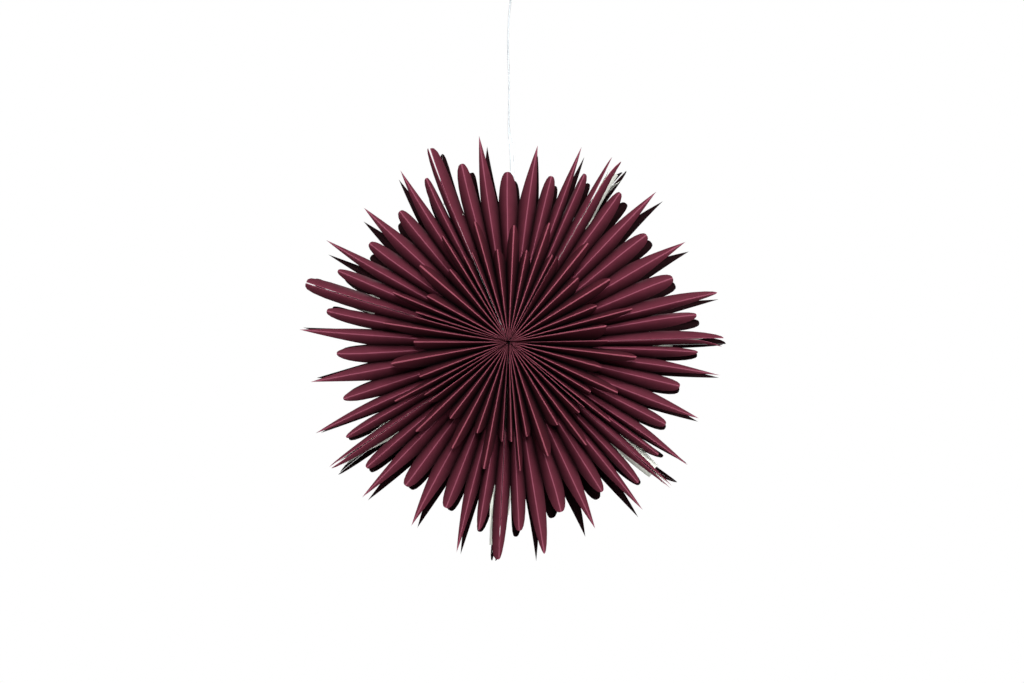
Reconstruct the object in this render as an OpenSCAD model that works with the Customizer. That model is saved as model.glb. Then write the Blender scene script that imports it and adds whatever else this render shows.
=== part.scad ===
// Hanging star lamp of folded paper: seven pleated sections around a lampholder on a flat cord.
// Millimetres, +Z up, the front faces -Y. The origin is in the ceiling plane, at the cord's ceiling plate.

/* [Star outline] */
// Reach of the pointed tips at the seams, from the star's centre
seam_tip_r = 302; // [280:1:330]
// Reach of the pointed tips next to the seams
side_tip_r = 297; // [275:1:325]
// Reach of the pointed tip in the middle of a section
mid_tip_r = 284; // [270:1:310]
// Reach of the round petals next to the seams
side_round_r = 263; // [240:1:270]
// Reach of the round petals in the middle of a section
mid_round_r = 245; // [225:1:260]
// Radius at which neighbouring outer petals part
petal_root_r = 197; // [170:1:215]
// Radius at which the outer fans begin
outer_start_r = 48; // [44:1:60]

/* [Inner fans] */
// Reach of an inner fan at the seams
inner_seam_r = 138; // [125:1:150]
// Reach of the long inner pleats
inner_long_r = 179; // [165:1:190]
// Reach of the long inner pleat in the middle of a section
inner_mid_r = 167; // [155:1:185]
// Reach of the short inner pleats
inner_short_r = 133; // [125:1:145]
// Radius at which neighbouring inner pleats part
inner_root_r = 115; // [100:1:120]
// Radius at which the inner fans begin
inner_start_r = 5; // [4:0.5:10]

/* [Paper] */
// Distance of the outer folds from the star's middle plane
ridge_depth = 42; // [40:0.5:48]
// Distance of the star's apex from its middle plane
apex_depth = 84; // [80:0.5:95]
// Distance of the long inner tips from the middle plane
inner_tip_depth = 63; // [60:0.5:70]
// Width of one outer pleat's panel
outer_panel_w = 20; // [18:0.5:21]
// Width of one inner pleat's panel
inner_panel_w = 21; // [19:0.5:22]
// Thickness of the coloured paper
paper_t = 0.25; // [0.15:0.05:0.4]
// Thickness of the white card of the side walls
card_t = 0.4; // [0.3:0.05:0.8]
// Gap left between pieces that lie against each other
seat_gap = 0.3; // [0.2:0.05:0.4]

/* [Side walls] */
// Inner edge of the side walls, which leaves room for the bulb
wall_start_r = 55; // [50:1:65]
// Middle of the outer edge of a side wall
wall_notch_r = 268; // [250:1:280]
// Reach of a side wall at the folds
wall_tip_r = 296; // [285:1:300]
// Distance of the punched holes from the star's centre
hole_at_r = 227; // [215:1:240]
// Radius of a punched hole
hole_r = 2.2; // [1.8:0.1:3]

/* [Lampholder and bulb] */
// Radius of the round bulb
bulb_r = 22.5; // [18:0.5:24]
// Radius of the bulb's screw base
base_r = 6.9; // [6.5:0.1:7]
// Height of the bulb's contact above its centre
contact_h = 52; // [48:1:56]
// Outer radius of the lampholder
holder_r = 14; // [12:0.5:16]
// Wall of the lampholder's shell
holder_wall = 1.6; // [1.2:0.1:2.5]
// Length of the lampholder's shell
shell_len = 48; // [44:1:56]
// Height of the domed cap
cap_h = 12; // [10:0.5:16]
// Radius of the cap's neck
neck_r = 6; // [5:0.25:7]
// Length of the neck, which the hanger wire goes around
neck_len = 8; // [7.5:0.25:10]
// Length of the tapered cord grip
grip_len = 24; // [20:1:40]
// Radius of the hanger wire
wire_r = 0.9; // [0.7:0.05:1.2]

/* [Cord] */
// Width of the flat cord
cord_w = 5.4; // [4.8:0.1:6]
// Thickness of the flat cord
cord_t = 2.7; // [2.2:0.1:3.2]

/* [Ceiling fitting] */
// Height of the ceiling plane above the star's centre
drop = 560; // [555:1:570]
// Outer radius of the ceiling cup
cup_r = 42; // [38:0.5:50]
// Height of the ceiling cup
cup_h = 38; // [32:0.5:42]
// Wall of the ceiling cup
cup_wall = 2; // [1.5:0.1:3]
// Radius of the hole in the bottom of the cup
cup_hole_r = 6; // [5.5:0.25:8]
// Thickness of the steel plate
plate_t = 1.6; // [1.2:0.1:2.5]
// Width of the steel plate
plate_w = 16; // [12:0.5:22]
// Distance between the plate's screw holes
screw_spacing = 56; // [50:1:60]
// Radius of the plate's screw holes
screw_r = 2.25; // [2:0.05:2.75]
// Length of the terminal block
block_l = 30; // [24:1:40]
// Width of the terminal block
block_w = 17; // [14:0.5:20]
// Height of the terminal block
block_h = 14; // [12:0.5:18]

/* [Hidden] */
SECTIONS = 7;
FANS = ["front_outer_fan", "front_inner_fan", "back_outer_fan", "back_inner_fan"];

paper_colour = "#6b2c3b";
card_colour = "#d6d9cc";
$fn = 64;

// Angle of each seam, and of the folds of each section between its two seams, in degrees
// anticlockwise from +X. The paper was opened by hand, so the folds aren't evenly spaced.
seams = [1.9, 60.5, 113, 163.1, 214.3, 266.9, 318.5, 361.9];
outer_folds = [
    [9.6, 14.3, 22.6, 30.6, 39.2, 46.6, 54.1],
    [66.3, 70, 76.1, 82.5, 91, 98.6, 105.3],
    [117.1, 122.6, 129.5, 136.8, 144.3, 150.6, 156.5],
    [169.6, 175.7, 183.1, 190.4, 197.9, 204.1, 209.1],
    [220.3, 225.9, 233.5, 241.1, 248.7, 255.3, 260.6],
    [272.8, 279.3, 287.4, 294.8, 302, 308.7, 313.1],
    [323.3, 326.2, 332.7, 338.5, 346.1, 352.1, 358]];
inner_folds = [
    [9.8, 15.5, 22.9, 32.4, 43.5, 52, 59.1],
    [63.7, 71.5, 79.1, 87.6, 97.1, 105.8, 111.8],
    [117.3, 121.6, 128.6, 138.7, 150.1, 156.2, 161.6],
    [164.2, 170.3, 178.9, 189.5, 200.6, 206.8, 211.6],
    [215.9, 223.2, 231.9, 241.5, 250.5, 258.7, 265.7],
    [271.2, 274.7, 280.6, 288.8, 300.6, 307, 315.2],
    [319.8, 321.9, 328.7, 335.2, 345.1, 353.6, 360.6]];
// How far the back folds in the middle of each section have turned against the front ones
back_turn = [-0.7, -0.4, 2, -2.4, 0.2, -2.5, 0.3];

// Reach of each fold from seam to seam
outer_reach = [seam_tip_r, side_round_r, side_tip_r, mid_round_r, mid_tip_r, mid_round_r, side_tip_r,
               side_round_r, seam_tip_r];
inner_reach = [inner_seam_r, inner_long_r, inner_short_r, inner_mid_r, inner_short_r, inner_long_r,
               inner_seam_r];
// How round each tip is: 1 is a straight-sided point, 2 is as round as a leaf
point_power = 1;
seam_power = 1.4;
round_power = 2.13;
blunt_power = 2;
outer_power = [for (i = [0:8]) i % 8 == 0 ? seam_power : i % 2 == 0 ? point_power : round_power];
inner_power = [for (i = [0:6]) blunt_power];
outer_strips = 4;
inner_strips = 3;
// Least depth that a pleat keeps where it is drawn wide open
flat_depth = 3;

// Distance of the paper's end folds from a seam: half the gap between two walls, a wall and a gap
wall_off = seat_gap / 2;
fold_off = wall_off + card_t + seat_gap;

// Point at an angle, radius and depth in the star
function polar(a, r, y) = [r * cos(a), y, r * sin(a)];
function radians(a) = a * PI / 180;
function mix(a, b, f) = a + (b - a) * f;

// Fall of a pleat at radius r whose half angle is h: the panel's width stays the same at every radius
function fall(w, r, h) = sqrt(max(pow(w, 2) - pow(r * radians(h), 2), pow(flat_depth, 2)));

// Depth (negative is the front) of an inner fold at radius r
function inner_ridge(r) = -mix(apex_depth, inner_tip_depth, r / inner_long_r);

// The rays of one pleat panel from the ridge (f = 0) to the valley (f = 1): each has its angle, where it
// ends, its share f and its pleat's half angle
function panel_rays(ridge_a, valley_a, reach, root, power, shares) = [for (f = shares)
    [mix(ridge_a, valley_a, f), reach - (reach - root) * pow(f, power), f, abs(valley_a - ridge_a)]];

// All rays of a fan with these ridges, in order of their angle
function fan_rays(ridges, reach, power, root, strips) =
    let (n = len(ridges) - 1)
    concat(
        [for (i = [0:n - 1])
            let (valley = (ridges[i] + ridges[i + 1]) / 2)
            each concat(
                panel_rays(ridges[i], valley, reach[i], root, power[i], [for (s = [0:strips]) s / strips]),
                panel_rays(ridges[i + 1], valley, reach[i + 1], root, power[i + 1],
                           [for (s = [strips - 1:-1:1]) s / strips]))],
        panel_rays(ridges[n], ridges[n] - (ridges[n] - ridges[n - 1]) / 2, reach[n], root, power[n], [0]));

// The folded sheet over a list of edges. An edge is [inner point, outer point, inner and outer thickness
// along Y]. The sheet's front is the given surface, and its back is the same surface moved along Y.
module folded_sheet(edges) {
    m = len(edges);
    points = [for (e = edges) each [e[0], e[1], e[0] + [0, e[2], 0], e[1] + [0, e[3], 0]]];
    function at(j, k) = 4 * j + k;
    faces = concat(
        [for (j = [0:m - 2]) each [
            [at(j, 0), at(j + 1, 0), at(j + 1, 1)], [at(j, 0), at(j + 1, 1), at(j, 1)],
            [at(j, 2), at(j + 1, 3), at(j + 1, 2)], [at(j, 2), at(j, 3), at(j + 1, 3)],
            [at(j, 0), at(j + 1, 2), at(j + 1, 0)], [at(j, 0), at(j, 2), at(j + 1, 2)],
            [at(j, 1), at(j + 1, 1), at(j + 1, 3)], [at(j, 1), at(j + 1, 3), at(j, 3)]]],
        [[at(0, 0), at(0, 1), at(0, 3)], [at(0, 0), at(0, 3), at(0, 2)],
         [at(m - 1, 0), at(m - 1, 3), at(m - 1, 1)], [at(m - 1, 0), at(m - 1, 2), at(m - 1, 3)]]);
    polyhedron(points, faces, convexity = 20);
}

// Centre of a section's own rays, moved out along its bisector so that its end folds stay off the seams
function section_centre(a0, a1, off) = polar((a0 + a1) / 2, off / sin((a1 - a0) / 2), 0);

// Thickness along Y of paper on a pleat of half angle h and width w at radius r. On the steepest pleats,
// near the centre, it stays below a limit, so that the fan keeps clear of what lies behind it.
most_y_thickness = 8;
function y_thickness(w, r, h) = min(paper_t * w / min(w, r * radians(max(h, 0.1))), most_y_thickness);

module outer_fan(ridges) {
    centre = section_centre(ridges[0], ridges[8], fold_off);
    rays = fan_rays(ridges, outer_reach, outer_power, petal_root_r, outer_strips);
    folded_sheet([for (ray = rays) let (r0 = outer_start_r, r1 = ray[1], h = ray[3]) [
        centre + polar(ray[0], r0, ray[2] * fall(outer_panel_w, r0, h) - ridge_depth),
        centre + polar(ray[0], r1, ray[2] * fall(outer_panel_w, r1, h) - ridge_depth),
        y_thickness(outer_panel_w, r0, h),
        y_thickness(outer_panel_w, r1, h)]]);
}

// An inner fan ends in a flap at each side, which goes back to the outer fan's end fold
module inner_fan(ridges, seam_a0, seam_a1) {
    centre = section_centre(seam_a0, seam_a1, fold_off);
    rays = fan_rays(ridges, inner_reach, inner_power, inner_root_r, inner_strips);
    flap_y = -(ridge_depth + seat_gap);
    flap_t = paper_t * 4;
    function flap(a) = [
        centre + polar(a, inner_start_r, flap_y - flap_t),
        centre + polar(a, inner_root_r, flap_y - flap_t), flap_t, flap_t];
    folded_sheet(concat(
        [flap(seam_a0)],
        [for (ray = rays) let (r0 = inner_start_r, r1 = ray[1], h = ray[3]) [
            centre + polar(ray[0], r0, inner_ridge(r0) + ray[2] * fall(inner_panel_w, r0, h)),
            centre + polar(ray[0], r1, inner_ridge(r1) + ray[2] * fall(inner_panel_w, r1, h)),
            y_thickness(inner_panel_w, r0, h),
            y_thickness(inner_panel_w, r1, h)]],
        [flap(seam_a1)]));
}

// A section's folds with its two seams, and the same turned for the back, where the seams stay
function with_seams(k, folds) = concat([seams[k]], folds[k], [seams[k + 1]]);
function turned(k, folds) = [for (a = folds[k])
    a + back_turn[k] * sin(180 * (a - seams[k]) / (seams[k + 1] - seams[k]))];

module front_outer_fan(k) color(paper_colour) outer_fan(with_seams(k, outer_folds));
module front_inner_fan(k) color(paper_colour) inner_fan(inner_folds[k], seams[k], seams[k + 1]);
module back_outer_fan(k) color(paper_colour) mirror([0, 1, 0])
    outer_fan(concat([seams[k]], turned(k, outer_folds), [seams[k + 1]]));
module back_inner_fan(k) color(paper_colour) mirror([0, 1, 0])
    inner_fan(turned(k, inner_folds), seams[k], seams[k + 1]);

// A flat card along a seam, its outer edge cut like a swallow's tail. Side 0 lies at the start of
// section k and side 1 at its end.
wall_half = ridge_depth - 2 * paper_t;
tail_half = 34;
tail_r = 284;
module wall_outline() difference() {
    polygon([
        [wall_start_r, -wall_half], [wall_tip_r, -wall_half], [tail_r, -tail_half],
        [wall_notch_r, 0],
        [tail_r, tail_half], [wall_tip_r, wall_half], [wall_start_r, wall_half]]);
    translate([hole_at_r, 0]) circle(r = hole_r, $fn = 32);
}
module side_wall(k, side) color(card_colour) {
    a0 = seams[k];
    a1 = seams[k + 1];
    centre = section_centre(a0, a1, wall_off);
    translate(centre)
        rotate([0, -(side == 0 ? a0 : a1), 0])
        translate([0, 0, side == 0 ? 0 : -card_t])
        linear_extrude(card_t) wall_outline();
}

// The bulb hangs with its round part at the star's centre and its screw base up in the holder. Its
// glass runs into a neck at the angle where the neck's side touches the round part.
bulb_neck_r = 9;
bulb_neck_z = bulb_r + 6;
bulb_shoulder = 37;
contact_len = 2;
module bulb() color("white") rotate_extrude() difference() {
    union() {
        circle(r = bulb_r);
        polygon([[0, 0], bulb_r * [cos(bulb_shoulder), sin(bulb_shoulder)], [bulb_neck_r, bulb_neck_z],
                 [0, bulb_neck_z]]);
        translate([0, bulb_r]) square([base_r, contact_h - bulb_r - contact_len]);
        square([base_r / 2, contact_h]);
    }
    translate([-2 * bulb_r, -2 * bulb_r]) square([2 * bulb_r, 4 * bulb_r + contact_h]);
}

shell_z = bulb_neck_z;
shell_top = shell_z + shell_len;

module holder_shell() color("white") translate([0, 0, shell_z]) difference() {
    cylinder(r = holder_r, h = shell_len);
    translate([0, 0, -1]) cylinder(r = holder_r - holder_wall, h = shell_len + 2);
}

// Contact carrier: a disc across the top of the shell, with a sleeve around the bulb's base
sleeve_wall = 1.4;
sleeve_len = 19;
insert_h = 8;
module holder_insert() color("gainsboro") {
    disc_z = contact_h + seat_gap;
    difference() {
        union() {
            translate([0, 0, disc_z]) cylinder(r = holder_r - holder_wall - seat_gap, h = insert_h);
            translate([0, 0, disc_z - sleeve_len])
                cylinder(r = base_r + seat_gap + sleeve_wall, h = sleeve_len + 1);
        }
        translate([0, 0, disc_z - sleeve_len - 1]) cylinder(r = base_r + seat_gap, h = sleeve_len + 1);
    }
}

// Domed cap: a hollow cup over the shell, with a solid neck
neck_z = shell_top + cap_h;
grip_z = neck_z + neck_len;
dome_low = 0.35;
dome_high = 0.75;
dome_high_r = 0.86;
dome_top_r = 0.65;
module cap_profile(inset) polygon([
    [0, seat_gap - inset], [holder_r - inset, seat_gap - inset], [holder_r - inset, cap_h * dome_low],
    [holder_r * dome_high_r - inset, cap_h * dome_high - inset / 2],
    [holder_r * dome_top_r - inset, cap_h - inset], [0, cap_h - inset]]);
module holder_cap() color("white") translate([0, 0, shell_top]) rotate_extrude() {
    difference() {
        cap_profile(0);
        cap_profile(holder_wall);
    }
    translate([0, cap_h - holder_wall / 2]) square([neck_r, neck_len + holder_wall / 2]);
}

// The cord grip screws onto the neck and tapers up to the cord
grip_flange_r = 8;
grip_flange_h = 4;
grip_slope = 2;
grip_wall = 1;
module holder_grip() color("white") translate([0, 0, grip_z]) rotate_extrude() polygon([
    [0, 0], [grip_flange_r, 0], [grip_flange_r, grip_flange_h], [neck_r, grip_flange_h + grip_slope],
    [cord_w / 2 + grip_wall, grip_len], [0, grip_len]]);

// A tube along a path: each ring is a list of points, and the two end rings are closed by caps
module tube(rings) {
    sides = len(rings[0]);
    n = len(rings);
    polyhedron(
        [for (ring = rings) each ring],
        concat(
            [[for (s = [sides - 1:-1:0]) s]],
            [for (j = [0:n - 2], s = [0:sides - 1]) each [
                [j * sides + s, j * sides + (s + 1) % sides, (j + 1) * sides + s],
                [j * sides + (s + 1) % sides, (j + 1) * sides + (s + 1) % sides, (j + 1) * sides + s]]],
            [[for (s = [0:sides - 1]) (n - 1) * sides + s]]),
        convexity = 10);
}
function unit(v) = v / norm(v);

// Rings of a round wire: path points with a ring across the mean direction at each
function wire_rings(path, r, sides) = [for (j = [0:len(path) - 1])
    let (
        along = unit(path[min(j + 1, len(path) - 1)] - path[max(j - 1, 0)]),
        across = unit(cross(along, [0, 0, 1])),
        up = cross(across, along))
    [for (s = [0:sides - 1]) path[j] + r * (across * cos(360 * s / sides) + up * sin(360 * s / sides))]];

// The hanger wire goes one and a half times around the holder's neck, and its arms go out to the
// punched holes of the top section, where each ends in a hook through both walls of the seam
top_section = 1;
wire_turns = 1.5;
wire_steps = 24;
wire_turn_r = neck_r + seat_gap + wire_r;
wire_pitch = 2 * wire_r + seat_gap;
wire_z = neck_z + seat_gap + wire_r;
wire_rise = wire_turns * wire_pitch;
hook_len = 9;
hook_start = 7;
function hole_point(a) = polar(a, hole_at_r, 0) + [0, 0, hole_r - wire_r - seat_gap];
hook_right = hole_point(seams[top_section]);
hook_left = hole_point(seams[top_section + 1]);
right_out = polar(seams[top_section] - 90, 1, 0);
left_out = polar(seams[top_section + 1] + 90, 1, 0);
hanger_path = concat(
    [hook_left + hook_len * left_out, hook_left, hook_left - hook_start * left_out],
    [for (s = [0:wire_steps]) let (a = 180 + wire_turns * 360 * s / wire_steps)
        [wire_turn_r * cos(a), wire_turn_r * sin(a), wire_z + (1 - s / wire_steps) * wire_rise]],
    [hook_right - hook_start * right_out, hook_right, hook_right + hook_len * right_out]);
module hanger_wire() color("silver") tube(wire_rings(hanger_path, wire_r, 8));

// Two spring clips that close the last seam at its inner edge: each is a U over both walls
clip_t = 0.6;
clip_len = 14;
clip_w = 10;
clip_y = 24;
clip_seam = 1;
module seam_clips() color("silver") {
    inside = 2 * fold_off;
    back_r = wall_start_r - seat_gap - clip_t;
    for (y = [-clip_y, clip_y])
        rotate([0, -seams[clip_seam], 0])
            translate([back_r, y - clip_w / 2, 0])
            rotate([90, 0, 0]) mirror([0, 0, 1]) linear_extrude(clip_w) difference() {
                translate([0, -inside / 2 - clip_t]) square([clip_len, inside + 2 * clip_t]);
                translate([clip_t, -inside / 2]) square([clip_len, inside]);
            }
}

// Route of the cord above the star's centre: x, y, z and the turn of its flat side in degrees.
// It leaves the grip straight up, twists by a quarter above the star, and leans to the left below the cup.
cord_start_z = grip_z + grip_len;
cord_lead = 12;
block_z = drop - plate_t - seat_gap - block_h;
cord_route = [
    [0, 0, cord_start_z, 0], [0.1, 0, cord_start_z + cord_lead, 0], [0.6, 0, 150, 0], [1.4, 0, 175, 0],
    [2.1, 0, 200, 0], [2.4, 0, 220, 0], [2.2, 0, 240, 2], [1.7, 0, 258, 5], [1.1, 0, 272, 9],
    [0.1, 0, 288, 16], [-1.2, 0, 300, 30], [-2.6, 0, 310, 60], [-3.2, 0, 320, 85], [-3.1, 0, 332, 90],
    [-2.8, 0, 348, 90], [-2.8, 0, 388, 90], [-3.3, 0, 403, 90], [-4, 0, 418, 90], [-4.2, 0, 440, 90],
    [-3.8, 0, 460, 90], [-2.8, 0, 478, 90], [-1.5, 0, 493, 90], [-0.5, 0, 503, 90], [0, 0, 512, 90],
    [0, 0, 528, 90], [0, 0, block_z, 90]];
function cord_ring(p, w, t) = [for (s = [0:7])
    let (u = w / 2 * cos(45 * s + 22.5) / cos(22.5), v = t / 2 * sin(45 * s + 22.5) / cos(22.5))
    [p[0] + u * cos(p[3]) - v * sin(p[3]), p[1] + u * sin(p[3]) + v * cos(p[3]), p[2]]];
module pendant_cord() color("white") tube([for (p = cord_route) cord_ring(p, cord_w, cord_t)]);

// The cup's floor has a hole for the grip bush, which the cord passes through. Its side rises over a
// shoulder and a slope to an upright rim.
cup_z = drop - cup_h;
shoulder_w = 12;
shoulder_h = 9;
slope_w = 3;
slope_h = 24;
module cup_profile(r, floor_z) polygon([
    [cup_hole_r, floor_z], [r - shoulder_w, floor_z], [r - slope_w, shoulder_h + floor_z / 2],
    [r, slope_h], [r, cup_h + floor_z], [cup_hole_r, cup_h + floor_z]]);
module ceiling_cup() color("white") translate([0, 0, cup_z]) rotate_extrude() difference() {
    cup_profile(cup_r, 0);
    cup_profile(cup_r - cup_wall, cup_wall);
}

// The bush is pushed up through the hole, and a small screw in its flange clamps the cord
bush_flange_r = 9;
bush_flange_h = 8;
bush_neck_len = 5;
bush_z = cup_z - seat_gap - bush_flange_h;
grip_screw_r = 1.5;
grip_screw_gap = 0.1;
grip_screw_head_r = 2.8;
grip_screw_head_h = 2;
grip_screw_z = bush_z + bush_flange_h / 2;
module cup_grip() color("white") difference() {
    bush_h = bush_flange_h + seat_gap + cup_wall + bush_neck_len;
    slot = [cord_t + seat_gap, cord_w + seat_gap, 2 * bush_h];
    translate([0, 0, bush_z]) {
        cylinder(r = bush_flange_r, h = bush_flange_h);
        cylinder(r = cup_hole_r - seat_gap, h = bush_h);
    }
    translate([-slot[0] / 2, -slot[1] / 2, bush_z - bush_h / 2]) cube(slot);
    translate([0, 0, grip_screw_z]) rotate([0, 90, 0])
        cylinder(r = grip_screw_r + grip_screw_gap, h = 2 * bush_flange_r);
}

module grip_screw() color("white") translate([cord_t / 2 + seat_gap, 0, grip_screw_z]) rotate([0, 90, 0]) {
    shank = bush_flange_r - cord_t / 2;
    cylinder(r = grip_screw_r, h = shank);
    translate([0, 0, shank]) cylinder(r = grip_screw_head_r, h = grip_screw_head_h);
}

module ceiling_plate() color("silver") translate([0, 0, drop - plate_t]) difference() {
    half = sqrt(pow(cup_r - cup_wall - seat_gap, 2) - pow(plate_w / 2, 2));
    translate([-half, -plate_w / 2, 0]) cube([2 * half, plate_w, plate_t]);
    for (x = [-screw_spacing / 2, screw_spacing / 2])
        translate([x, 0, -plate_t / 2]) cylinder(r = screw_r, h = 2 * plate_t);
}

module terminal_block() color("whitesmoke")
    translate([-block_l / 2, -block_w / 2, block_z]) cube([block_l, block_w, block_h]);

// Everything is drawn about the star's centre and hangs this far below the ceiling plane
module hung() translate([0, 0, -drop]) children();

for (k = [0:SECTIONS - 1]) {
    n = k + 1;
    hung() front_outer_fan(k);
    hung() front_inner_fan(k);
    hung() back_outer_fan(k);
    hung() back_inner_fan(k);
    hung() side_wall(k, 0);
    hung() side_wall(k, 1);
}
hung() bulb();
hung() holder_shell();
hung() holder_insert();
hung() holder_cap();
hung() holder_grip();
hung() hanger_wire();
hung() seam_clips();
hung() pendant_cord();
hung() cup_grip();
hung() grip_screw();
hung() ceiling_cup();
hung() ceiling_plate();
hung() terminal_block();
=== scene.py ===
import math
import random

import bpy
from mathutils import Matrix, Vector


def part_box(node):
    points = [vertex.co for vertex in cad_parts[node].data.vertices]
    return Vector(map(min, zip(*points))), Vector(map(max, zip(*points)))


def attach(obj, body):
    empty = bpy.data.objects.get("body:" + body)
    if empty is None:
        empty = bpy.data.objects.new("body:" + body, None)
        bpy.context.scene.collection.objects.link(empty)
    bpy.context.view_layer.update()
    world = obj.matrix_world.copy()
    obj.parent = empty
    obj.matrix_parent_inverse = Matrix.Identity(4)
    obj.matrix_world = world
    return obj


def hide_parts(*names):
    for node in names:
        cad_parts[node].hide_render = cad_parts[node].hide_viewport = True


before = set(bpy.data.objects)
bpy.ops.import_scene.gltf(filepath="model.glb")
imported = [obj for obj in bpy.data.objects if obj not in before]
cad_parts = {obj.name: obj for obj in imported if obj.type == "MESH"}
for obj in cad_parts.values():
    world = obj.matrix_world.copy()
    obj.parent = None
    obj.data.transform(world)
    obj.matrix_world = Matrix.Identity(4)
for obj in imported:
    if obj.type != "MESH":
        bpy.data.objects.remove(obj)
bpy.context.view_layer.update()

MM = 0.001

# Sizes below are in millimetres about the star's centre. That is the middle of the round bulb, which lies
# one radius above the bulb's lowest point.
BULB_LOW, BULB_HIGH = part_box("bulb")
STAR_Z = BULB_LOW.z + BULB_HIGH.x
# Y of the outer folds, and of the inner folds at the star's apex and at their tips
RIDGE_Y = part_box("front_outer_fan_1")[0].y / MM
APEX_Y = -84
INNER_TIP_Y = -63

# Thickness of the paper and the card, width of a panel from fold to fold, and least depth of a pleat
PAPER_T = 0.25
CARD_T = 0.4
OUTER_PANEL = 20
INNER_PANEL = 21
LEAST_DEPTH = 3

# Angle of each seam, and of the folds of each section, in degrees anticlockwise from +X
SEAMS = [1.9, 60.5, 113, 163.1, 214.3, 266.9, 318.5, 361.9]
SECTIONS = range(len(SEAMS) - 1)
OUTER_FOLDS = [
    [9.6, 14.3, 22.6, 30.6, 39.2, 46.6, 54.1],
    [66.3, 70, 76.1, 82.5, 91, 98.6, 105.3],
    [117.1, 122.6, 129.5, 136.8, 144.3, 150.6, 156.5],
    [169.6, 175.7, 183.1, 190.4, 197.9, 204.1, 209.1],
    [220.3, 225.9, 233.5, 241.1, 248.7, 255.3, 260.6],
    [272.8, 279.3, 287.4, 294.8, 302, 308.7, 313.1],
    [323.3, 326.2, 332.7, 338.5, 346.1, 352.1, 358],
]
INNER_FOLDS = [
    [9.8, 15.5, 22.9, 32.4, 43.5, 52, 61.6],
    [63.7, 71.5, 79.1, 87.6, 97.1, 105.8, 112.2],
    [117.3, 121.6, 128.6, 138.7, 150.1, 156.2, 161.6],
    [163.9, 170.3, 178.9, 189.5, 200.6, 206.8, 211.6],
    [215.9, 223.2, 231.9, 241.5, 250.5, 258.7, 266.4],
    [271.2, 274.7, 280.6, 288.8, 300.6, 307, 315.2],
    [319.1, 321.9, 328.7, 335.2, 345.1, 353.6, 361.4],
]
# How far the back folds in the middle of each section have turned against the front ones
BACK_TURN = [0, -0.4, 2, -2.4, 0.2, -2.5, 0.3]
# Half the opening between the two end folds of each seam at the front, and of all seams at the back
SEAM_GAP = [0.3, 0.5, 0.15, 0.6, 0.5, 0.5, 0.35, 0.3]
BACK_GAP = 0.1

# How far each tip has bent sideways (anticlockwise) and how much longer it reaches, seam to seam
BENDS = {
    "front": [
        [(-2, -1), (-3, 2), (-2, 3), (-1.5, 2), (-1.5, 2), (-1.5, 1.5), (-1, 2), (0.5, 2), (-8, 2)],
        [(4.5, 1), (0, 1), (0, 1), (0, 1), (-2.5, 1), (-1, 0), (-1.5, 3.5), (-2, 3), (-5, 0)],
        [(-3, 1), (-3, 1.5), (-3.5, -4.5), (-1, 0), (-1, 0), (-1.5, 0), (-2.5, 2), (0, 1.5), (-2, 0)],
        [(-2, 0), (-2, -1), (-1, 0), (-2, -2), (0, 0), (0, 0), (2, 2), (1.5, 0), (-1, 4)],
        [(1, 3), (1, 1), (0, 0), (0, 0), (2, 4), (0, 0), (2, 3), (0, 0), (1.5, 0)],
        [(0.5, 0), (0, -2), (0, 0), (-2, 0), (0, 0), (0, -2), (0, 0), (-1.5, 1), (-2, 0)],
        [(1, 0), (0, -4), (-3, 4), (0, 0), (0, 0), (0, 0), (-3, 1), (-1.5, 0.5), (-13, -4)],
    ],
    "back": [
        [(-2, 4), (-6, 7), (-3, 7), (-4, 6), (-7, 6), (-6, 7), (-10, 7), (-8, 4), (-15, 5)],
        [(-12, 0), (-3, 1), (-1, 1), (-1, 0), (2, 0), (-3, 0), (-7, 0), (-10, 0), (-18, 0)],
        [(-18, 0), (-5, 0), (-2, 0), (0, 0), (0, 0), (0, 0), (1, 2), (-6, 0), (-17, 0)],
        [(-12, 0), (-10, 2), (-3, 5), (-2, 0), (-1.5, -1), (0, 0), (2.5, 1), (0, 2), (5, 0)],
        [(6, 4), (0, 3), (0, 0), (0, 0), (3, 3), (0, 0), (2, 3), (-4, 0), (-12, 0)],
        [(-8, 0), (-4, 3), (-6, 6), (-7, 1), (-5, 2), (0, 0), (-2, 2), (5, 1), (14, 0)],
        [(14, 0), (6, 0), (3, 0), (0, 0), (0, 0), (0, 0), (0, 1), (1, 1), (-2, 0)],
    ],
}
# A tip bends as this power of the way along it, and sharper where it is listed by section and petal
EVEN_BEND = 2
SHARP_BENDS = {"front": {(0, 8): 6, (6, 8): 4}, "back": {}}

# Reach of each fold from seam to seam, and how round its tip is: 1 is a straight-sided point
OUTER_REACH = [302, 264, 298, 246, 285, 246, 298, 264, 302]
OUTER_ROUND = [2.1, 2.7, 0.85, 2.7, 0.85, 2.7, 0.85, 2.7, 2.1]
INNER_REACH = [138, 179, 133, 167, 133, 179, 138]
INNER_ROUND = 2
# How round a tip is where it differs, by section and petal
OWN_ROUND = {
    "front": {
        (0, 0): 1.7, (0, 1): 2.3, (0, 2): 1.4, (0, 7): 2.4, (0, 8): 1.7, (1, 0): 1.2, (1, 8): 3.2,
        (2, 7): 2.3, (2, 8): 4, (3, 0): 4, (3, 3): 2.1, (3, 4): 0.8, (3, 5): 2, (3, 7): 2, (3, 8): 1.1,
        (4, 0): 1.4, (4, 7): 1.8, (4, 8): 4, (5, 0): 1.7, (5, 2): 1.5, (5, 5): 2.3, (5, 8): 0.9,
        (6, 0): 0.9, (6, 6): 0.7, (6, 7): 1.9, (6, 8): 1.4,
    },
    "back": {
        (0, 2): 0.8, (0, 8): 1.6, (1, 8): 1.9, (3, 8): 1.3, (4, 0): 1.4, (4, 8): 1.9, (5, 2): 0.8,
        (5, 8): 1.3, (6, 0): 1.3, (6, 8): 1.6,
    },
}
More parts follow.
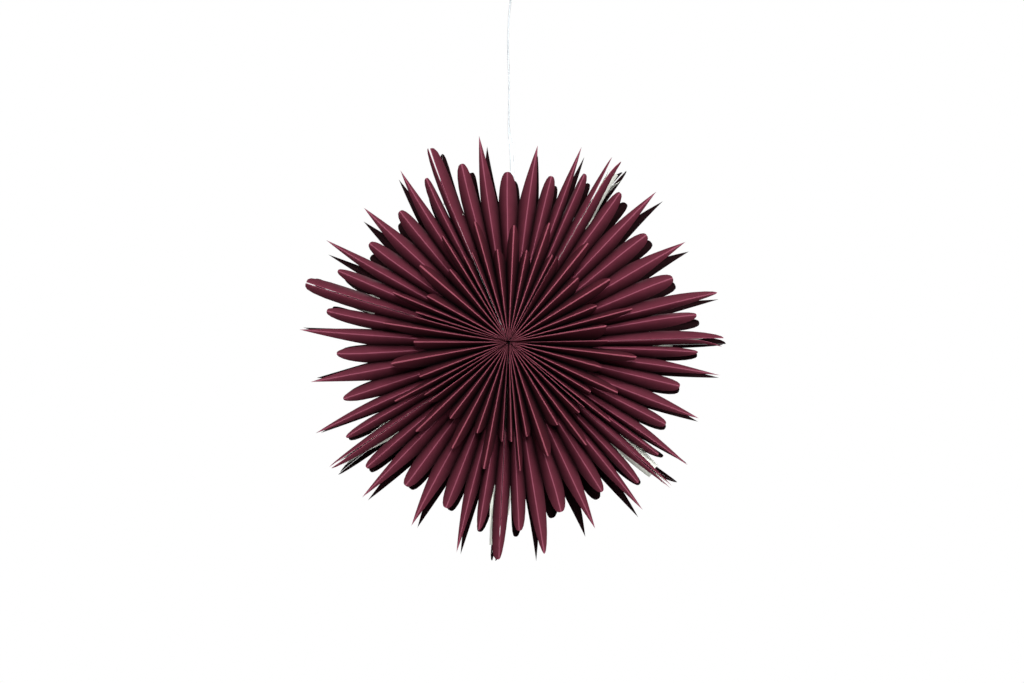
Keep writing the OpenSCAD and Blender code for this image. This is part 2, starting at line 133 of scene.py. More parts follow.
# Radius where a fan's sheet starts, and where its petals part from each other
OUTER_START = 48
OUTER_ROOT = 197
INNER_START = 1.5
INNER_ROOT = 115

# Where the points of a panel lie between its ridge (0) and its valley (1), and rows from start to tip
SHARES = [0, 0.02, 0.05, 0.1, 0.2, 0.35, 0.5, 0.65, 0.82, 1]
OUTER_ROWS = 26
INNER_ROWS = 22
# The crest of a fold is rounded over this many millimetres of the panel, and takes this many of its half
# chord, or at most this share of it
CREST = 0.8
CREST_WIDTH = 0.55
MOST_CREST = 0.5
# Least half chord of a pleat, where the folds meet at the centre
LEAST_CHORD = 0.01
# How much a panel bulges between its ridge and its valley, as a share of its chord
OUTER_BULGE = 0.2
INNER_BULGE = 0.06
# The inner fan's side flaps lie this far in front of the outer folds
SIDE_FLAP_GAP = 0.8
# How far forward a tip curls, from least to most, where less than nothing is back
CURL_SPAN = (-2, 3)

# Creases below this many degrees are shaded smooth
PAPER_CREASE = 45
CARD_CREASE = 40
CORD_CREASE = 50


def polar(angle, radius, y):
    turn = math.radians(angle)
    return Vector((radius * math.cos(turn), y, radius * math.sin(turn)))


def mix(a, b, share):
    return a + (b - a) * share


def to_row(point):
    """A point in millimetres about the star's centre, in metres in the part's frame."""
    return point * MM + Vector((0, 0, STAR_Z))


# Camera first: the star hangs a little above the eye, 5 m away
APEX = to_row(Vector((0, APEX_Y, 0)))
EYE_DISTANCE = 5
EYE_AZIMUTH = math.radians(2.3)
EYE_ELEVATION = math.radians(-5.6)
# Width of the picture at the star, and how far its middle lies right of the apex and above it, in metres
VIEW_WIDTH = 1.434
APEX_LEFT = 0.0048
APEX_DOWN = 0.0007
# In millimetres
SENSOR_WIDTH = 36


def add_camera():
    back = Vector((
        math.sin(EYE_AZIMUTH) * math.cos(EYE_ELEVATION),
        -math.cos(EYE_AZIMUTH) * math.cos(EYE_ELEVATION),
        math.sin(EYE_ELEVATION),
    ))
    turn = (-back).to_track_quat("-Z", "Y")
    data = bpy.data.cameras.new("camera")
    data.sensor_width = SENSOR_WIDTH
    data.lens = SENSOR_WIDTH * EYE_DISTANCE / VIEW_WIDTH
    camera = bpy.data.objects.new("camera", data)
    camera.rotation_mode = "QUATERNION"
    camera.rotation_quaternion = turn
    aim = APEX + turn @ Vector((APEX_LEFT, APEX_DOWN, 0))
    camera.location = aim + back * EYE_DISTANCE
    bpy.context.scene.collection.objects.link(camera)
    bpy.context.scene.camera = camera


add_camera()


# Making and shaping pieces
def deselect():
    bpy.ops.object.select_all(action="DESELECT")


def bent_grid(name, columns, rows, place, lay=lambda column, row: (column, row)):
    """A grid whose points go where place(column, row) says, with lay(column, row) as their UV."""
    deselect()
    bpy.ops.mesh.primitive_grid_add(
        x_subdivisions=columns - 1, y_subdivisions=rows - 1, size=1, calc_uvs=True)
    piece = bpy.context.object
    piece.name = piece.data.name = name
    mesh = piece.data
    spots = []
    for point in mesh.vertices:
        column = round((point.co.x + 0.5) * (columns - 1))
        row = round((point.co.y + 0.5) * (rows - 1))
        spots.append((column, row))
    for point, spot in zip(mesh.vertices, spots):
        point.co = place(*spot)
    layer = mesh.uv_layers.active
    for loop in mesh.loops:
        layer.data[loop.index].uv = lay(*spots[loop.vertex_index])
    return piece


def thicken(piece, thickness):
    """Gives a sheet its thickness behind its face, with the second material on its back and edges."""
    solid = piece.modifiers.new("thickness", "SOLIDIFY")
    solid.thickness = thickness * MM
    solid.offset = -1
    solid.material_offset = 1
    solid.material_offset_rim = 1
    bpy.context.view_layer.objects.active = piece
    bpy.ops.object.modifier_apply(modifier=solid.name)


def smooth(piece, crease):
    deselect()
    piece.select_set(True)
    bpy.context.view_layer.objects.active = piece
    bpy.ops.object.shade_smooth_by_angle(angle=math.radians(crease))


# Sizes of the patterns in the surfaces, and depths of their relief, in millimetres. Where two are given,
# the first is a cloudy drift of colour and the second the fine texture.
PAPER_PATTERN = (14, 0.7)
PAPER_RELIEF = 0.06
CARD_PATTERN = (9, 0.5)
CARD_RELIEF = 0.04
PLASTIC_PATTERN = (20, 0.4)
PLASTIC_RELIEF = 0.03
ZINC_LINES = 0.6
ZINC_RELIEF = 0.02
# Pace of the lines' pattern along X, as a share of its pace across, which draws it out along the strip
ZINC_DRAW = 0.15
# Nearly all of a noise lies between these levels
NOISE_LOW = 0.3
NOISE_HIGH = 0.7
WHITE = (1, 1, 1, 1)
# What the clouds take from the paper's colour, and the fibres from its paler crests, which are worn and
# painted as a highlight
CLOUD_SHADE = (0.86, 0.86, 0.86, 1)
FIBRE_SHADE = (0.6, 0.6, 0.6, 1)
FIBRE_HIGH = 0.6
# Share of a panel where its painted valley shade starts to deepen, and where it is deepest
VALLEY_SHADE_FROM = 0.05
VALLEY_SHADE_DEEPEST = 0.95


def linear(hex_colour):
    """An sRGB hex colour as the linear colour that a socket takes."""
    values = []
    for start in (1, 3, 5):
        value = int(hex_colour[start:start + 2], 16) / 255
        values.append(value / 12.92 if value <= 0.04045 else ((value + 0.055) / 1.055) ** 2.4)
    return (*values, 1)


def add_node(tree, kind, settings=None, stops=(), **inputs):
    """A node with its settings, a colour ramp's (place, colour) stops and its inputs. An input is named,
    or numbered as in i0, and is given a value or another node's output."""
    node = tree.nodes.new(kind)
    for name, value in (settings or {}).items():
        setattr(node, name, value)
    for i, (place, colour) in enumerate(stops):
        node.color_ramp.elements[i].position = place
        node.color_ramp.elements[i].color = colour
    for name, value in inputs.items():
        key = int(name[1:]) if name[1:].isdigit() else name.replace("_", " ")
        if isinstance(value, bpy.types.NodeSocket):
            tree.links.new(value, node.inputs[key])
        else:
            node.inputs[key].default_value = value
    return node


def new_material(name, **finish):
    """A material with a principled shader of this finish, with its tree and shader."""
    material = bpy.data.materials.new(name)
    material.use_nodes = True
    tree = material.node_tree
    shader = tree.nodes["Principled BSDF"]
    for socket, value in finish.items():
        shader.inputs[socket.replace("_", " ")].default_value = value
    return material, tree, shader


def clouds_and_relief(tree, shader, cloud, colours, grain, strength, depth):
    """Lets one noise drift the shader's colour between two, and another raise its surface."""
    base = add_node(
        tree, "ShaderNodeValToRGB", Fac=cloud.outputs["Fac"],
        stops=[(NOISE_LOW, linear(colours[0])), (NOISE_HIGH, linear(colours[1]))])
    tree.links.new(base.outputs["Color"], shader.inputs["Base Color"])
    bump = add_node(
        tree, "ShaderNodeBump", Strength=strength, Distance=depth * MM, Height=grain.outputs["Fac"])
    tree.links.new(bump.outputs["Normal"], shader.inputs["Normal"])


def paper_with_painted_shade(name, worn_and_highlit_crest_colour, near_colour, valley_shade_colour, crest_share, gloss):
    """Uncoated paper dyed through, about 160 g: matt, with short fibres that just show. Its crests are
    painted paler, partly as rubbed wear and partly as a painted highlight, and each panel has painted shade
    that deepens towards its valley."""
    material, tree, shader = new_material(name, Roughness=0.8, IOR=1.45, Specular_IOR_Level=gloss)
    place = add_node(tree, "ShaderNodeTexCoord")
    cloud = add_node(
        tree, "ShaderNodeTexNoise", Vector=place.outputs["Object"], Scale=1 / (PAPER_PATTERN[0] * MM),
        Detail=2.0)
    fibre = add_node(
        tree, "ShaderNodeTexNoise", Vector=place.outputs["Object"], Scale=1 / (PAPER_PATTERN[1] * MM),
        Detail=4.0, Roughness=0.7)
    lie = add_node(tree, "ShaderNodeSeparateXYZ", Vector=place.outputs["UV"])
    share = add_node(tree, "ShaderNodeMath", {"operation": "PINGPONG"}, i0=lie.outputs["X"], i1=1.0)
    # Painted shade: each panel is painted darker from near its crest towards its valley
    valley_shade_ramp = add_node(
        tree, "ShaderNodeValToRGB", Fac=share.outputs["Value"],
        stops=[(VALLEY_SHADE_FROM, linear(near_colour)), (VALLEY_SHADE_DEEPEST, linear(valley_shade_colour))])
    shade = add_node(
        tree, "ShaderNodeValToRGB", Fac=cloud.outputs["Fac"],
        stops=[(NOISE_LOW, CLOUD_SHADE), (NOISE_HIGH, WHITE)])
    base = add_node(
        tree, "ShaderNodeMix", {"data_type": "RGBA", "blend_type": "MULTIPLY"}, i0=1.0,
        i6=valley_shade_ramp.outputs["Color"], i7=shade.outputs["Color"])
    # Painted highlight with wear: the crest of each fold is tinted paler, broken up by the fibres
    crest = add_node(
        tree, "ShaderNodeMapRange", {"interpolation_type": "SMOOTHSTEP"}, Value=share.outputs["Value"],
        i1=crest_share / 2, i2=crest_share, i3=1.0, i4=0.0)
    crest_fibres = add_node(
        tree, "ShaderNodeValToRGB", Fac=fibre.outputs["Fac"],
        stops=[(NOISE_LOW, FIBRE_SHADE), (FIBRE_HIGH, WHITE)])
    wear_and_highlight = add_node(
        tree, "ShaderNodeMath", {"operation": "MULTIPLY"}, i0=crest.outputs["Result"],
        i1=crest_fibres.outputs["Color"])
    tint = add_node(
        tree, "ShaderNodeMix", {"data_type": "RGBA"}, i0=wear_and_highlight.outputs["Value"], i6=base.outputs[2],
        i7=linear(worn_and_highlit_crest_colour))
    tree.links.new(tint.outputs[2], shader.inputs["Base Color"])
    bump = add_node(
        tree, "ShaderNodeBump", Strength=0.25, Distance=PAPER_RELIEF * MM, Height=fibre.outputs["Fac"])
    tree.links.new(bump.outputs["Normal"], shader.inputs["Normal"])
    return material


def pale_card(name):
    """Uncoated grey-white card, 300 g: matt, slightly greenish, with a cloudy formation and fibres."""
    material, tree, shader = new_material(name, Roughness=0.85, IOR=1.45, Specular_IOR_Level=0.25)
    place = add_node(tree, "ShaderNodeTexCoord")
    cloud = add_node(
        tree, "ShaderNodeTexNoise", Vector=place.outputs["Object"], Scale=1 / (CARD_PATTERN[0] * MM),
        Detail=4.0)
    fibre = add_node(
        tree, "ShaderNodeTexNoise", Vector=place.outputs["Object"], Scale=1 / (CARD_PATTERN[1] * MM),
        Detail=3.0)
    clouds_and_relief(
        tree, shader, cloud, ("#e0e3d8", "#eceee6"), fibre, strength=0.12, depth=CARD_RELIEF)
    return material


def moulded_plastic(name, colours, roughness):
    """Injection-moulded plastic: one colour with faint flow clouding and a fine spark-eroded texture."""
    material, tree, shader = new_material(name, Roughness=roughness, IOR=1.5)
    place = add_node(tree, "ShaderNodeTexCoord")
    cloud = add_node(
        tree, "ShaderNodeTexNoise", Vector=place.outputs["Object"], Scale=1 / (PLASTIC_PATTERN[0] * MM),
        Detail=2.0)
    grain = add_node(
        tree, "ShaderNodeTexNoise", Vector=place.outputs["Object"], Scale=1 / (PLASTIC_PATTERN[1] * MM),
        Detail=2.0)
    clouds_and_relief(tree, shader, cloud, colours, grain, strength=0.12, depth=PLASTIC_RELIEF)
    return material


def zinc_plate(name):
    """Bright zinc-plated steel: a cold silver with faint drawn lines along the strip."""
    material, tree, shader = new_material(name, Metallic=1.0, Roughness=0.34)
    place = add_node(tree, "ShaderNodeTexCoord")
    drawn = add_node(
        tree, "ShaderNodeMapping", Vector=place.outputs["Object"], Scale=(ZINC_DRAW, 1, 1))
    lines = add_node(
        tree, "ShaderNodeTexNoise", Vector=drawn.outputs["Vector"], Scale=1 / (ZINC_LINES * MM), Detail=3.0)
    clouds_and_relief(
        tree, shader, lines, ("#b4b8bd", "#c9ccd0"), lines, strength=0.1, depth=ZINC_RELIEF)
    return material


# The same dyed paper for the outer and the inner fans and for the backs and edges of both, each copy with
# painted valley shade and a painted crest highlight; the inner and back copies are painted darker still as
# shade
PAPER_OUTER = paper_with_painted_shade(
    "paper_outer_painted_shade", "#8c4a5c", "#602534", "#2c0e15", crest_share=0.035, gloss=0.15)
# The inner fans' copy is painted darker as shade
PAPER_INNER = paper_with_painted_shade(
    "paper_inner_painted_darker_shade", "#98505f", "#4c1a25", "#0c0305", crest_share=0.06, gloss=0.1)
# The backs' and edges' copy is painted near-black as shade
PAPER_BACK = paper_with_painted_shade(
    "paper_back_painted_near_black_shade", "#1c0a0e", "#1a0a0d", "#120608", crest_share=0.03, gloss=0.04)
CARD = pale_card("grey_white_card")
PVC = moulded_plastic("soft_pvc_sheath", ("#d8e0e4", "#e2e9ec"), 0.42)
HOLDER = moulded_plastic("polyester_moulding", ("#e6e6e2", "#edede9"), 0.35)
INSERT = moulded_plastic("polyamide_moulding", ("#d6d6d0", "#dfdfd9"), 0.5)
CUP = moulded_plastic("abs_moulding", ("#e8e8e4", "#efefec"), 0.3)
OPAL = moulded_plastic("opal_diffuser", ("#ecebe4", "#f3f2ec"), 0.4)
ZINC = zinc_plate("zinc_plated_steel")


# Cord: flat, two cores side by side
CORD_W = 5.4
CORD_T = 2.7
# The groove between the cores: the thickness left there as a share, and how much narrower it is than the
# cord
CORD_WAIST = 0.72
CORD_GROOVE = 1.8
CORD_START_Z = 120.5
CORD_END_Z = 544.1
# X, Y, Z and turn in degrees, from the lampholder's grip up to the terminal block
CORD_ROUTE = [
    (0, 0, CORD_START_Z, 0), (0.1, 0, CORD_START_Z + 12, 0), (0.6, 0, 150, 0), (1.4, 0, 175, 0),
    (2.1, 0, 200, 0), (2.4, 0, 220, 0), (2.2, 0, 240, 2), (1.7, 0, 258, 5), (1.1, 0, 272, 9),
    (0.1, 0, 288, 16), (-1.2, 0, 300, 30), (-2.6, 0, 310, 60), (-3.2, 0, 320, 85), (-3.1, 0, 332, 90),
    (-2.8, 0, 348, 90), (-2.8, 0, 388, 90), (-3.3, 0, 403, 90), (-4, 0, 418, 90), (-4.2, 0, 440, 90),
    (-3.8, 0, 460, 90), (-2.8, 0, 478, 90), (-1.5, 0, 493, 90), (-0.5, 0, 503, 90), (0, 0, 512, 90),
    (0, 0, 528, 90), (0, 0, CORD_END_Z, 90),
]
# Steps in each stretch of the route, sides round the cord, and how near two points are one
CORD_STEPS = 4
CORD_SIDES = 24
CORD_WELD = 0.01


def curve_through(points, steps):
    """Points of a smooth curve through the given ones (a cubic spline), steps to each stretch."""
    last = len(points) - 1
    made = []
    for i in range(last):
        before, start, end, after = points[max(i - 1, 0)], points[i], points[i + 1], points[min(i + 2, last)]
        for s in range(steps):
            t = s / steps
            made.append([
                0.5 * (2 * b + (c - a) * t + (2 * a - 5 * b + 4 * c - d) * t ** 2
                       + (3 * b - a - 3 * c + d) * t ** 3)
                for a, b, c, d in zip(before, start, end, after)
            ])
    return made + [list(points[-1])]


def flat_cord_section(turn):
    """Half width and half thickness of the cord at a turn round it: two lobes with a groove between."""
    along = math.cos(turn)
    waist = mix(CORD_WAIST, 1, min(1, abs(along) * CORD_GROOVE) ** 2)
    return CORD_W / 2 * along, CORD_T / 2 * math.sin(turn) * waist


def make_cord():
    line = curve_through(CORD_ROUTE, CORD_STEPS)

    def place(side, ring):
        x, y, z, turned_by = line[ring]
        wide, thick = flat_cord_section(2 * math.pi * side / CORD_SIDES)
        turn = math.radians(turned_by)
        return to_row(Vector((
            x + wide * math.cos(turn) - thick * math.sin(turn),
            y + wide * math.sin(turn) + thick * math.cos(turn),
            z,
        )))

    def lay(side, ring):
        return (side / CORD_SIDES, ring)

    cord = bent_grid("flat_cord", CORD_SIDES + 1, len(line), place, lay)
    bpy.ops.object.mode_set(mode="EDIT")
    bpy.ops.mesh.select_all(action="SELECT")
    bpy.ops.mesh.remove_doubles(threshold=CORD_WELD * MM)
    bpy.ops.mesh.select_all(action="DESELECT")
    bpy.ops.mesh.select_non_manifold()
    bpy.ops.mesh.edge_face_add()
    bpy.ops.mesh.select_all(action="SELECT")
    bpy.ops.mesh.normals_make_consistent(inside=False)
    bpy.ops.object.mode_set(mode="OBJECT")
    smooth(cord, CORD_CREASE)
    cord.data.materials.append(PVC)
    path = [to_row(Vector(point[:3])) for point in line]
    length = sum((b - a).length for a, b in zip(path, path[1:]))
    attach(cord, "root")
    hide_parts("pendant_cord")
    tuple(path[0])


make_cord()


# Fans of pleats
def section_centre(k, before, after):
    """Where a section's own rays start, so that its end folds stay inside its two seams by so much."""
    span = math.radians(SEAMS[k + 1] - SEAMS[k])
    return polar(SEAMS[k + 1], before / math.sin(span), 0) + polar(SEAMS[k], after / math.sin(span), 0)


def fan_centre(side, k):
    gaps = (SEAM_GAP[k], SEAM_GAP[k + 1]) if side == "front" else (BACK_GAP, BACK_GAP)
    return section_centre(k, *gaps)


def turned(k, ridges):
    """Back folds: turned against the front ones in the middle of the section, and not at its seams."""
    span = SEAMS[k + 1] - SEAMS[k]
    return [a + BACK_TURN[k] * math.sin(math.pi * (a - SEAMS[k]) / span) for a in ridges]


def outer_ridges(side, k):
    ridges = [SEAMS[k], *OUTER_FOLDS[k], SEAMS[k + 1]]
    return turned(k, ridges) if side == "back" else ridges


def inner_ridges(side, k):
    return turned(k, INNER_FOLDS[k]) if side == "back" else INNER_FOLDS[k]


def fall(width, radius, half_angle):
    """How deep a pleat is at a radius: its panels keep their width and stand steeper nearer the centre."""
    half_chord = radius * math.radians(half_angle)
    return math.sqrt(max(width ** 2 - half_chord ** 2, LEAST_DEPTH ** 2))


def aside(share, bulge):
    """Share of a panel's half chord at a share of its width: the panel bulges."""
    return 2 * share * (1 - share) * (0.5 + bulge) + share ** 2


def across(share, bulge, width, half_chord):
    """The same with the round crest added. Past the valley it equals the share of the width."""
    if share > 1:
        return share
    bulged = aside(share, bulge)
    crest = min(CREST_WIDTH / half_chord, MOST_CREST)
    return mix(bulged, 1 - math.exp(-share * width / CREST), crest)


def deep(share, bulge, width):
    """Share of a panel's depth at a share of its width. Past the valley a sheet keeps its depth."""
    if share > 1:
        return 1
    bulged = 2 * share * (1 - share) * (0.5 - bulge) + share ** 2
    return bulged * share / (share + CREST / width * (1 - share))


def pleat_columns(ridges):
    """(ridge, valley angle, share, U) of every column of a fan from its first ridge to its last."""
    columns = []
    last = len(ridges) - 1
    for i in range(last):
        valley = (ridges[i] + ridges[i + 1]) / 2
        columns += [(i, valley, share, 2 * i + share) for share in SHARES]
        columns += [(i + 1, valley, share, 2 * i + 2 - share) for share in reversed(SHARES[1:-1])]
    columns.append((last, (ridges[last - 1] + ridges[last]) / 2, 0, 2 * last))
    return columns


def to_side(side, point):
    """A point of a front fan, or its mirror image at the back, in metres in the part's frame."""
    if side == "back":
        point.y = -point.y
    return to_row(point)


def outer_place(side, k, i, valley, share, radius, behind=0):
    """A point of an outer fan: share of the way from ridge i to a valley, at a radius. The free tips bend
    sideways and curl forward."""
    ridge = outer_ridges(side, k)[i]
    sideways, longer = BENDS[side][k][i]
    half = abs(valley - ridge)
    angle = mix(ridge, valley, across(share, OUTER_BULGE, OUTER_PANEL, radius * math.radians(half)))
    depth = fall(OUTER_PANEL, min(radius, OUTER_ROOT), half) * deep(share, OUTER_BULGE, OUTER_PANEL)
    free = max(0, (radius - OUTER_ROOT) / (OUTER_REACH[i] + longer - OUTER_ROOT))
    y = RIDGE_Y + (depth + behind) - CURLS[side, k][i] * free ** 2
    bend = sideways * free ** SHARP_BENDS[side].get((k, i), EVEN_BEND)
    return to_side(side, fan_centre(side, k) + polar(angle, radius, y) + polar(angle + 90, bend, 0))


def make_outer_fan(side, k):
    columns = pleat_columns(outer_ridges(side, k))

    def place(column, row):
        i, valley, share, _ = columns[column]
        roundness = OWN_ROUND[side].get((k, i), OUTER_ROUND[i])
        tip = OUTER_REACH[i] + BENDS[side][k][i][1]
        reach = tip - (tip - OUTER_ROOT) * aside(share, OUTER_BULGE) ** roundness
        radius = mix(OUTER_START, reach, row / (OUTER_ROWS - 1))
        return outer_place(side, k, i, valley, share, radius)

    def lay(column, row):
        return (columns[column][3], row / OUTER_ROWS)

    fan = bent_grid(f"{side}_outer_pleats_{k + 1}", len(columns), OUTER_ROWS, place, lay)
    finish_fan(fan, side, PAPER_OUTER, f"{side}_outer_fan_{k + 1}")


def make_inner_fan(side, k):
    ridges = inner_ridges(side, k)
    centre = fan_centre(side, k)
    last = len(ridges) - 1
    pleats = pleat_columns(ridges)
    flap = [(0, SEAMS[k], share, -share) for share in reversed(SHARES[1:])]
    end_flap = [(last, SEAMS[k + 1], share, 2 * last + share) for share in SHARES[1:]]
    columns = flap + pleats + end_flap
    pleated = range(len(flap), len(flap) + len(pleats))

    def place(column, row):
        i, valley, share, _ = columns[column]
        half = abs(valley - ridges[i])
        tip = INNER_REACH[i]
        reach = tip - (tip - INNER_ROOT) * share ** INNER_ROUND
        radius = mix(INNER_START, reach, row / (INNER_ROWS - 1))
        half_chord = max(radius * math.radians(half), LEAST_CHORD)
        angle = mix(ridges[i], valley, across(share, INNER_BULGE, INNER_PANEL, half_chord))
        ridge_y = mix(APEX_Y, INNER_TIP_Y, radius / max(INNER_REACH))
        if column in pleated:
            depth = fall(INNER_PANEL, radius, half)
        else:
            depth = RIDGE_Y - SIDE_FLAP_GAP - ridge_y
        y = ridge_y + depth * deep(share, INNER_BULGE, INNER_PANEL)
        return to_side(side, centre + polar(angle, radius, y))

    def lay(column, row):
        return (columns[column][3], row / INNER_ROWS)

    fan = bent_grid(f"{side}_inner_pleats_{k + 1}", len(columns), INNER_ROWS, place, lay)
    finish_fan(fan, side, PAPER_INNER, f"{side}_inner_fan_{k + 1}")


def finish_fan(fan, side, paper, node):
    fan.data.materials.append(paper)
    # The back and edges take the copy painted near-black as shade
    fan.data.materials.append(PAPER_BACK)
    if side == "front":
        fan.data.flip_normals()
    thicken(fan, PAPER_T)
    smooth(fan, PAPER_CREASE)
    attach(fan, "root")
    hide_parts(node)


# How far each tip curls forward, by side and section
random.seed(7)
CURLS = {
    (side, k): [random.uniform(*CURL_SPAN) for _ in OUTER_REACH]
    for k in SECTIONS for side in ("front", "back")
}
for fan_side, section in CURLS:
    make_outer_fan(fan_side, section)
    make_inner_fan(fan_side, section)


# Card walls, one at each side of a seam, a little behind the folds, with a swallow-tailed outer edge

# How far the walls stand from each seam
WALL_OFF = [0.8, 0.15, 0.8, 1.1, 1, 1, 0.9, 0.8]
WALL_HALF = 36.5
WALL_START = 55
# Outer edge: distance from the middle of the wall, and reach there
WALL_EDGE = [(0, 268), (34, 284), (WALL_HALF, 290)]
WALL_COLUMNS = 13
WALL_ROWS = 21
HOLE_AT = 227
HOLE_R = 2.2
HOLE_SIDES = 32
PUNCH_LENGTH = 10
# How far the walls' outer corners have bent sideways at the front and the back, by section and side
WALL_LEAN = {
    (0, "a"): (2, 12), (0, "b"): (-9, -16), (1, "b"): (-6, -14), (4, "b"): (-4, -12), (5, "b"): (-3, 6),
    (6, "b"): (2, 12),
}
# Each wall is folded over at its front and back edges into flaps, glued to the backs of the half petals.
# Their reach, and their width at each end as a share of the half petal, are listed by section and side
# for those at the front that differ.
FLAP = (230, 0.9, 0.2)
FRONT_FLAPS = {
    (0, "b"): (286, 1.2, 0.6), (2, "b"): (245, 1.25, 0.5), (3, "a"): (240, 1.15, 0.5),
    (3, "b"): (250, 1.5, 0.3), (4, "a"): (256, 1.5, 0.4), (4, "b"): (282, 1.5, 0.9),
    (5, "a"): (238, 1.3, 0.8), (5, "b"): (270, 1.5, 0.6), (6, "a"): (268, 1.9, 0.9),
    (6, "b"): (215, 0.5, 0.2),
}
# A flap starts at this share of the half petal, and lies this far behind it
FLAP_FROM = 0.08
FLAP_BEHIND = 0.35
FLAP_COLUMNS = 9
FLAP_ROWS = 13


def wall_reach(y):
    """Reach of a wall's outer edge at a distance from its middle."""
    y = abs(y)
    for (y0, r0), (y1, r1) in zip(WALL_EDGE, WALL_EDGE[1:]):
        if y <= y1:
            return mix(r0, r1, (y - y0) / (y1 - y0))
    return WALL_EDGE[-1][1]


def make_flap(side, k, wall_side):
    """The glued edge of a wall, just behind the half petal at its seam."""
    ridges = outer_ridges(side, k)
    i, neighbour = (0, 1) if wall_side == "a" else (len(ridges) - 1, len(ridges) - 2)
    valley = (ridges[i] + ridges[neighbour]) / 2
    tip, wide, narrow = FRONT_FLAPS.get((k, wall_side), FLAP) if side == "front" else FLAP

    def place(column, row):
        along = row / (FLAP_ROWS - 1)
        share = mix(FLAP_FROM, mix(wide, narrow, along), column / (FLAP_COLUMNS - 1))
        return outer_place(side, k, i, valley, share, mix(OUTER_ROOT, tip, along), FLAP_BEHIND)

    flap = bent_grid(f"{side}_flap", FLAP_COLUMNS, FLAP_ROWS, place)
    flap.data.materials.append(CARD)
    if (side == "front") == (wall_side == "a"):
        flap.data.flip_normals()
    thicken(flap, CARD_T)
    return flap


def punch(wall, at):
    """A round hole through a wall at a point."""
    deselect()
    through = Vector((at.z, 0, -at.x)).to_track_quat("Z", "Y")
    bpy.ops.mesh.primitive_cylinder_add(
        vertices=HOLE_SIDES, radius=HOLE_R * MM, depth=PUNCH_LENGTH * MM, location=to_row(at),
        rotation=through.to_euler())
    tool = bpy.context.object
    cutter = wall.modifiers.new("hole", "BOOLEAN")
    cutter.object = tool
    bpy.context.view_layer.objects.active = wall
    bpy.ops.object.modifier_apply(modifier=cutter.name)
    bpy.data.objects.remove(tool)


def make_wall(k, wall_side):
    off = WALL_OFF[k if wall_side == "a" else k + 1]
    centre = section_centre(k, off, off)
    seam, inward = (SEAMS[k], 90) if wall_side == "a" else (SEAMS[k + 1], -90)
    front_lean, back_lean = WALL_LEAN.get((k, wall_side), (0, 0))

    def place(column, row):
        to_back = row / (WALL_ROWS - 1)
        y = mix(-WALL_HALF, WALL_HALF, to_back)
        radius = mix(WALL_START, wall_reach(y), column / (WALL_COLUMNS - 1))
        free = max(0, (radius - OUTER_ROOT) / (WALL_EDGE[-1][1] - OUTER_ROOT))
        lean = mix(front_lean, back_lean, to_back) * free ** 2
        point = centre + polar(seam, radius, y)
        point += polar(seam + 90, lean, 0) + polar(seam + inward, CARD_T, 0)
        return to_row(point)

    wall = bent_grid(f"card_wall_{k + 1}{wall_side}", WALL_COLUMNS, WALL_ROWS, place)
    wall.data.materials.append(CARD)
    if wall_side == "b":
        wall.data.flip_normals()
    thicken(wall, CARD_T)
    punch(wall, centre + polar(seam, HOLE_AT, 0))
    flaps = [make_flap(side, k, wall_side) for side in ("front", "back")]
    deselect()
    for piece in (*flaps, wall):
        piece.select_set(True)
    bpy.context.view_layer.objects.active = wall
    bpy.ops.object.join()
    smooth(wall, CARD_CREASE)
    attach(wall, "root")
    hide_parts(f"side_wall_{k + 1}{wall_side}")


for section in SECTIONS:
    for seam_side in ("a", "b"):
        make_wall(section, seam_side)


# Finishes of the frame's own pieces
FINISHES = {
    "bulb": OPAL, "holder_shell": HOLDER, "holder_insert": INSERT, "holder_cap": HOLDER,
    "holder_grip": HOLDER, "hanger_wire": ZINC, "seam_clips": ZINC, "cup_grip": HOLDER,
    "grip_screw": HOLDER, "ceiling_cup": CUP, "ceiling_plate": ZINC, "terminal_block": INSERT,
}
for node_name, finish in FINISHES.items():
    node_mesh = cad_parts[node_name].data
    node_mesh.materials.clear()
    node_mesh.materials.append(finish)


# Studio, in metres: white all round for the eye, with soft light from the front and from behind
FLOOR_DROP = 1.6
FLOOR_SIZE = 12
SKY_LEVEL = 0.07


def seen_white(tree, shaded, seen):
    """Mixes two shaders: the second for rays of the eye, of gloss and of glass."""
    path = add_node(tree, "ShaderNodeLightPath")
    first = add_node(
        tree, "ShaderNodeMath", {"operation": "MAXIMUM"}, i0=path.outputs["Is Camera Ray"],
        i1=path.outputs["Is Glossy Ray"])
    either = add_node(
        tree, "ShaderNodeMath", {"operation": "MAXIMUM"}, i0=first.outputs["Value"],
        i1=path.outputs["Is Transmission Ray"])
    return add_node(tree, "ShaderNodeMixShader", i0=either.outputs["Value"], i1=shaded, i2=seen)


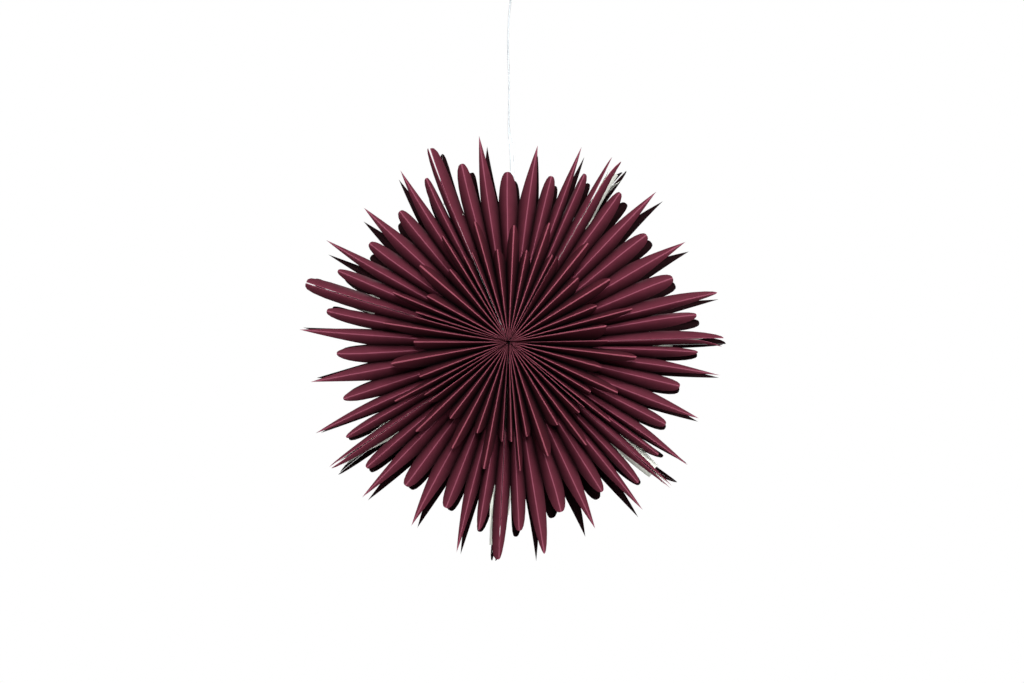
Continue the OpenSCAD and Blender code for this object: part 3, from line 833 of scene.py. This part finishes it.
def make_world():
    world = bpy.data.worlds.new("studio")
    bpy.context.scene.world = world
    world.use_nodes = True
    tree = world.node_tree
    tree.nodes.clear()
    dim = add_node(tree, "ShaderNodeBackground", Color=WHITE, Strength=SKY_LEVEL)
    white = add_node(tree, "ShaderNodeBackground", Color=WHITE, Strength=1.0)
    both = seen_white(tree, dim.outputs[0], white.outputs[0])
    add_node(tree, "ShaderNodeOutputWorld", Surface=both.outputs[0])


def make_floor():
    """A matt painted floor, off-white for the light that it throws back."""
    deselect()
    bpy.ops.mesh.primitive_plane_add(size=FLOOR_SIZE, location=(0, 0, STAR_Z - FLOOR_DROP))
    floor = bpy.context.object
    floor.name = "floor"
    material, tree, shader = new_material("pale_floor", Roughness=0.9)
    shader.inputs["Base Color"].default_value = linear("#f2f2f0")
    white = add_node(tree, "ShaderNodeEmission", Color=WHITE, Strength=1.0)
    both = seen_white(tree, shader.outputs[0], white.outputs[0])
    tree.links.new(both.outputs[0], tree.nodes["Material Output"].inputs["Surface"])
    floor.data.materials.append(material)


# Each lamp's place from the star's centre in metres, its size in metres and its power in watts
LAMPS = {
    "softbox_above": ((0.9, -2.0, 2.4), 1.2, 6.5),
    "softbox_right": ((2.6, -1.8, 0.6), 1.2, 1.6),
    "softbox_left": ((-2.6, -1.8, 0.6), 1.2, 1.4),
    "softbox_below": ((0.3, -1.8, -2.2), 1.0, 0.6),
    "softbox_front": ((0.4, -4.5, 1.0), 1.4, 12),
    "softbox_behind": ((-0.4, 4.5, 1.4), 1.4, 12),
    "softbox_behind_above": ((0, 2.0, 2.4), 1.2, 6),
}
# In degrees
LAMP_SPREAD = 50


def add_lamp(name, place, size, power):
    data = bpy.data.lights.new(name, "AREA")
    data.shape = "DISK"
    data.size = size
    data.energy = power
    data.spread = math.radians(LAMP_SPREAD)
    lamp = bpy.data.objects.new(name, data)
    lamp.location = Vector((0, 0, STAR_Z)) + Vector(place)
    lamp.rotation_mode = "QUATERNION"
    lamp.rotation_quaternion = (-Vector(place)).to_track_quat("-Z", "Y")
    bpy.context.scene.collection.objects.link(lamp)


make_world()
make_floor()
for lamp_name, setting in LAMPS.items():
    add_lamp(lamp_name, *setting)

bpy.context.scene.view_settings.view_transform = "Standard"
